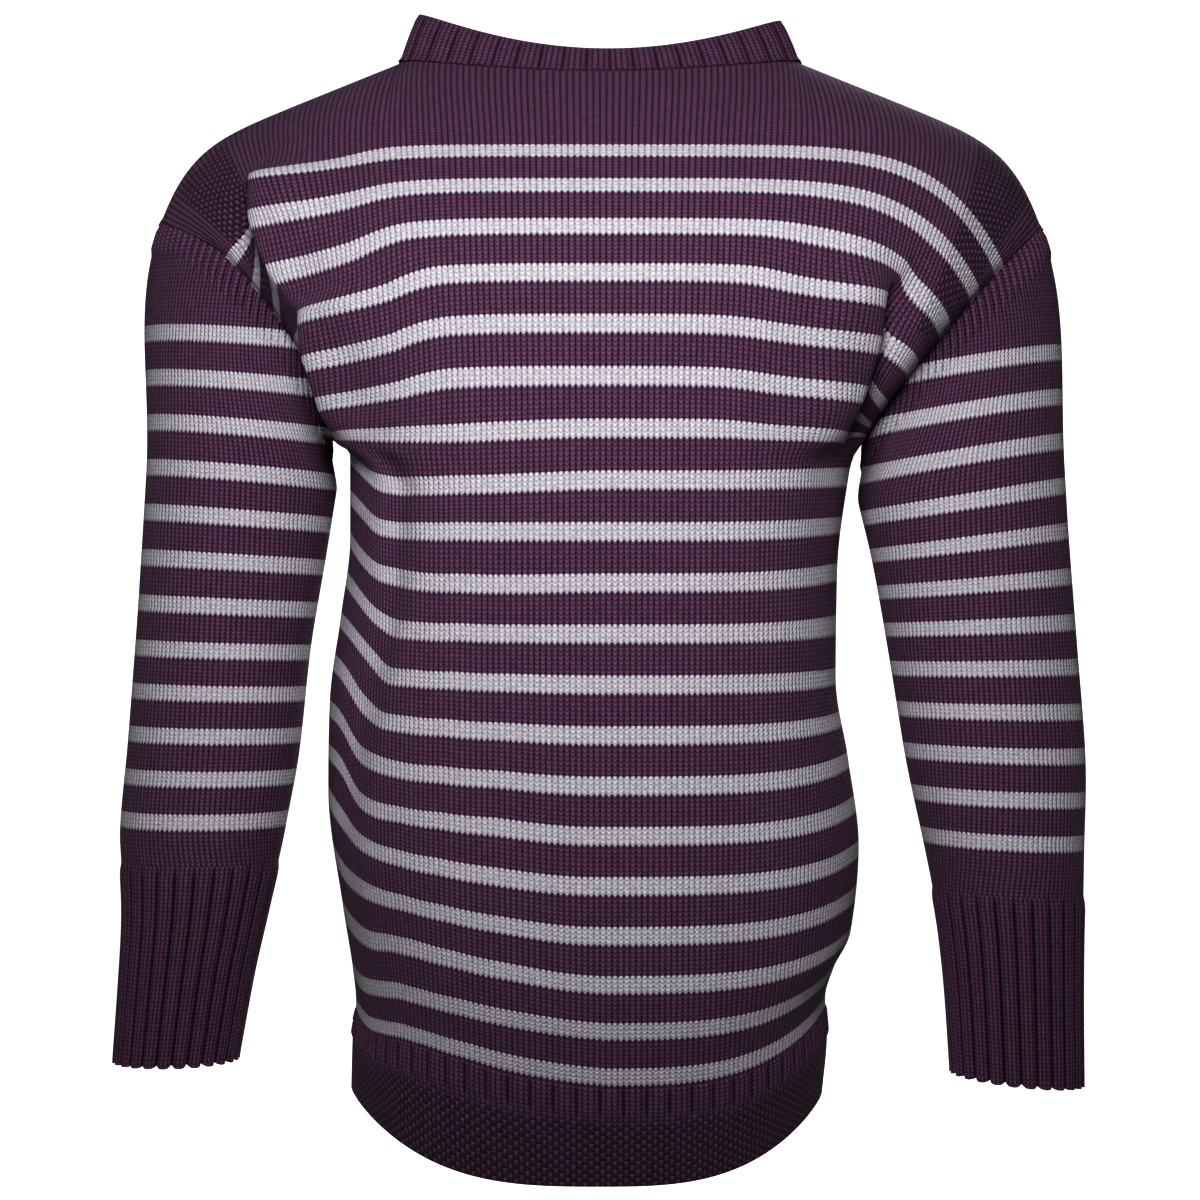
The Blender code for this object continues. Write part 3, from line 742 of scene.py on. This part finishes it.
def armhole_loop(side, count):
    """Even points round an armhole: down the front from the shoulder, and up the back."""
    front_half = np.array([armhole_point(side, -1, t) for t in np.linspace(0, 180, 181)])
    back_half = np.array([armhole_point(side, 1, t) for t in np.linspace(180, 0, 181)])
    half = count // 2
    down = at_shares(front_half, np.linspace(0, 1, half + 1))
    up = at_shares(back_half, np.linspace(0, 1, half + 1))
    return np.concatenate([down, up[1:-1]])


def sleeve_grid(side):
    """The grid of a sleeve and its cuff, closed round the arm and started under the arm."""
    loop = armhole_loop(side, SLEEVE_COLUMNS)
    turns = np.arange(SLEEVE_COLUMNS) / SLEEVE_COLUMNS * 2 * math.pi
    table = LEFT_SLEEVE if side < 0 else RIGHT_SLEEVE
    first_z = table[1][0]
    ring = sleeve_ring(side, first_z, turns)
    chord = np.linalg.norm(ring - loop, axis=1)[:, None]
    leave = np.array((side * 0.35, 0, -0.94))
    below = sleeve_ring(side, first_z - 4, turns) - ring
    rows = [
        hermite(w, loop, ring, leave * chord, below / 4 * chord)
        for w in np.linspace(0, 1, HEAD_ROWS + 1)[:-1]
    ]
    for z in np.linspace(first_z, CUFF_TOP[side], ARM_ROWS + 1):
        rows.append(sleeve_ring(side, z, turns))
    for z in np.linspace(CUFF_TOP[side], CUFF_END[side], CUFF_ROWS + 1)[1:]:
        rows.append(sleeve_ring(side, z, turns))
    return np.roll(np.array(rows), SLEEVE_COLUMNS // 2, axis=1)


def sleeve_counts(side, grid):
    """The wale and the course of each point of a sleeve, with the underarm column given twice."""
    whole = np.concatenate([grid, grid[:, :1]], axis=1)
    run = np.concatenate(
        [np.zeros((len(whole), 1)), np.cumsum(np.linalg.norm(np.diff(whole, axis=1), axis=2), axis=1)], axis=1
    )
    wale = (run - run[:, [SLEEVE_COLUMNS // 2]]) / SLEEVE_WALE
    table = LEFT_SLEEVE if side < 0 else RIGHT_SLEEVE
    z_first, z_last = table[1][0], table[-1][0]
    z = np.clip(whole[:, :, 2], z_last, z_first)
    zs = np.linspace(z_first, z_last, 60)
    middle = np.interp(-z, -zs, [smooth(table, "x", v) for v in zs])
    tilt = np.interp(-z, -zs, [smooth(table, "tilt", v) for v in zs])
    level = whole[:, :, 2] + side * (whole[:, :, 0] - middle) * tilt
    at, count = column(SLEEVE_COURSES[side], "course")
    course = np.interp(-level, -at, count)
    return wale, course


def seam_depth(grid):
    """How far each point lies below the top edge of its grid, along the cloth."""
    steps = np.linalg.norm(np.diff(grid, axis=0), axis=2)
    return np.concatenate([np.zeros((1, grid.shape[1])), np.cumsum(steps, axis=0)])


def sleeve(side, name, node):
    grid = sleeve_grid(side)
    inside = -outward(grid, True) * side
    seam = inside.copy()
    seam[:] = across_seam(grid[0], armhole_middle(side), closed=True)
    near = np.clip(1 - seam_depth(grid) / 8, 0, 1)[:, :, None]
    inside = unit(inside * (1 - near) + seam * near)
    wale, course = sleeve_counts(side, grid)
    depth = seam_depth(grid)
    fade = np.clip((HEAD_RIB_DEEP - depth) / 3, 0, 1)
    shape = ribs(wale[:, :-1], 2)
    tucked = np.clip(1 - depth / 4, 0, 1) * -1.2
    lift = -inside * (shape * 1.7 * fade + tucked)[:, :, None]
    # painted shade: hollow darkens the grooves between the ribs of the sleeve head
    hollow = np.clip(0.15 - shape * 1.5, 0, 1) * fade
    cut = HEAD_ROWS + ARM_ROWS
    outer, inner = grid + lift, grid + inside * WALL + lift
    upper = (g[: cut + 1] for g in (outer, inner, wale, course, hollow))
    piece = cloth(name, *upper, closed=True)
    piece.data.materials.append(SLEEVE_WOOL)
    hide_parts(node)
    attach(piece, "root")
    return outer[cut:], inner[cut:]


left_cuff_walls = sleeve(-1, "left_sleeve", "sleeve_left")
right_cuff_walls = sleeve(1, "right_sleeve", "sleeve_right")

# ---------------------------------------------------------------------------------------------
# Cuffs. Two plain wales and two purl wales in turn, about 25 ribs round, cast off in rib so the
# end is a scalloped edge.

CUFF_RIBS = 25
CUFF_COURSE = 2.6
CUFF_RIB_HEIGHT = 1.5
CUFF_WOOL = worsted_wool("worsted wool, two by two rib")


def cuff(walls, name, node):
    outer, inner = walls
    rows, cols = outer.shape[:2]
    count = np.arange(cols + 1) / cols * CUFF_RIBS * 4
    wale = np.broadcast_to(count, (rows, cols + 1))
    depth = seam_depth(outer)
    course = np.concatenate([depth, depth[:, :1]], axis=1) / CUFF_COURSE
    shape = ribs(wale[:, :-1], 4)
    grow = np.clip(depth / 6, 0, 1)
    lift = unit(outer - inner) * (shape * CUFF_RIB_HEIGHT * grow)[:, :, None]
    lift[:, :, 2] -= shape * np.clip(1 - (depth[-1] - depth) / 4, 0, 1) * 1.3
    outer, inner = outer + lift, inner + lift
    # painted shade: hollow darkens the grooves and flanks of the ribs, leaving only their crowns bright
    hollow = np.clip(0.4 - shape * 1.4, 0, 1) * grow
    piece = cloth(name, outer, inner, wale, course, purl=hollow, closed=True)
    piece.data.materials.append(CUFF_WOOL)
    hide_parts(node)
    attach(piece, "root")


cuff(left_cuff_walls, "left_cuff", "cuff_left")
cuff(right_cuff_walls, "right_cuff", "cuff_right")

# ---------------------------------------------------------------------------------------------
# Neckband. Picked up round the neck and worked in rib, ten rows high, standing up and leaning in.

NECK_WALES = 156
NECK_COURSE = 2.8
RIM_HALF = 119  # half the width of the rim
RIM_FRONT = (10, 3)  # y and z of the rim at the middle of the front, as for the next two
RIM_BACK = (90, 13)
RIM_SIDE = (52, 30)
RIM_TILT = 0.017  # how much lower it sits on the right
BAND_COLUMNS = 360
BAND_ROWS = 12
NECK_WOOL = worsted_wool("worsted wool, ribbed neckband")


def neck_seam(face):
    """The neck edge of a panel from left to right."""
    shares = np.linspace(0, NECK_SHARE, BAND_COLUMNS // 4 + 1)
    left, right = top_edge(-1, face, shares), top_edge(1, face, shares)
    return np.concatenate([left[::-1], right[1:]])


def neckband_grid():
    seam = np.concatenate([neck_seam(-1), neck_seam(1)[::-1][1:-1]])
    across = np.clip(seam[:, 0] / NECK_HALF, -1, 1)
    front_half = seam[:, 1] < NECK_Y
    y = np.where(front_half, RIM_FRONT[0], RIM_BACK[0])
    z = np.where(front_half, RIM_FRONT[1], RIM_BACK[1])
    rise = np.where(front_half, across**2, abs(across))
    lean = np.sqrt(np.maximum(0, 1 - across**2))
    rim = np.stack(
        [
            RIM_HALF * across,
            RIM_SIDE[0] + (y - RIM_SIDE[0]) * lean,
            z + (RIM_SIDE[1] - z) * rise - RIM_TILT * RIM_HALF * across,
        ],
        axis=1,
    )
    rows = []
    for w in np.linspace(0, 1, BAND_ROWS + 1):
        row = seam + (rim - seam) * w
        row[:, 2] += 1.5 * math.sin(math.pi * w)
        rows.append(row)
    return np.array(rows)


band = neckband_grid()
band_inside = -outward(band, True)
band_count = np.concatenate([band, band[:, :1]], axis=1)
band_run = np.linalg.norm(np.diff(band_count[0], axis=0), axis=1)
band_wale = np.concatenate([[0], np.cumsum(band_run)])
band_wale = band_wale / band_wale[-1] * NECK_WALES
band_wale = np.broadcast_to(band_wale, band_count.shape[:2])
band_depth = seam_depth(band_count)
band_rib = ribs(band_wale[:, :-1], RIB_WALES)
band_ridge = np.clip(1 - band_depth[:, :-1] / 3.5, 0, 1) * 1.3
band_fade = np.clip(band_depth[-1, :-1] - band_depth[:, :-1], 0, 5) / 5
band_lift = -band_inside * (band_rib * band_fade + band_ridge)[:, :, None]
# purl paints shade in the grooves between the neckband's ribs
neckband = cloth(
    "neckband_rib",
    band + band_lift,
    band + band_inside * WALL + band_lift,
    band_wale,
    band_depth / NECK_COURSE,
    purl=np.clip(0.1 - 1.3 * band_rib, 0, 1) * band_fade,
    closed=True,
)
neckband.data.materials.append(NECK_WOOL)
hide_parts("neckband")
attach(neckband, "root")

# ---------------------------------------------------------------------------------------------
# Studio. A plain white floor below the hem and a white surround, one softbox in front, a little
# above the chest, and a weaker one behind. The camera is level with the middle of the body.

FLOOR = -0.80  # metres, as are all the sizes in this section


def softbox(name, place, aim, size, power):
    """A round white lamp with a honeycomb grid, which keeps its light off the sides."""
    data = bpy.data.lights.new(name, "AREA")
    data.shape = "DISK"
    data.size = size
    data.energy = power
    data.spread = math.radians(100)
    lamp = bpy.data.objects.new(name, data)
    lamp.location = place
    direction = np.array(aim) - np.array(place)
    flat = math.hypot(direction[0], direction[1])
    lamp.rotation_euler = (
        math.pi / 2 + math.atan2(direction[2], flat),
        0,
        math.atan2(-direction[0], direction[1]),
    )
    bpy.context.scene.collection.objects.link(lamp)


bpy.ops.mesh.primitive_plane_add(size=12, location=(0, 0, FLOOR))
floor = bpy.context.object
floor.name = "studio_floor"
paint = bpy.data.materials.new("matt white paint")
paint.use_nodes = True
paint.node_tree.nodes["Principled BSDF"].inputs["Base Color"].default_value = linear("#F4F4F4")
paint.node_tree.nodes["Principled BSDF"].inputs["Roughness"].default_value = 0.9
paint.node_tree.nodes["Principled BSDF"].inputs["Emission Color"].default_value = (1, 1, 1, 1)
paint.node_tree.nodes["Principled BSDF"].inputs["Emission Strength"].default_value = 0.8
floor.data.materials.append(paint)
floor.visible_diffuse = False  # so that it throws no light up on the welt

softbox("behind", (0.35, 1.6, 0.5), (0, 0, -0.3), 0.9, 7)
softbox("key", (-0.07, -1.3, 0.2), (0, 0, -0.15), 0.6, 5.9)
world = bpy.data.worlds.new("studio")
world.use_nodes = True
nodes, links = world.node_tree.nodes, world.node_tree.links
seen = nodes.new("ShaderNodeLightPath")
strength = nodes.new("ShaderNodeMapRange")
strength.inputs["To Min"].default_value = 0.04
strength.inputs["To Max"].default_value = 1.0
links.new(seen.outputs["Is Camera Ray"], strength.inputs["Value"])
links.new(strength.outputs["Result"], nodes["Background"].inputs["Strength"])
nodes["Background"].inputs["Color"].default_value = (1, 1, 1, 1)
bpy.context.scene.world = world

camera_data = bpy.data.cameras.new("camera")
camera_data.lens = 93.75
camera_data.sensor_width = 36
camera = bpy.data.objects.new("camera", camera_data)
camera.location = (0, -2.0, -0.352)
camera.rotation_euler = (math.pi / 2, 0, 0)
bpy.context.scene.collection.objects.link(camera)
bpy.context.scene.camera = camera
bpy.context.scene.view_settings.view_transform = "Standard"
bpy.context.scene.view_settings.look = "High Contrast"
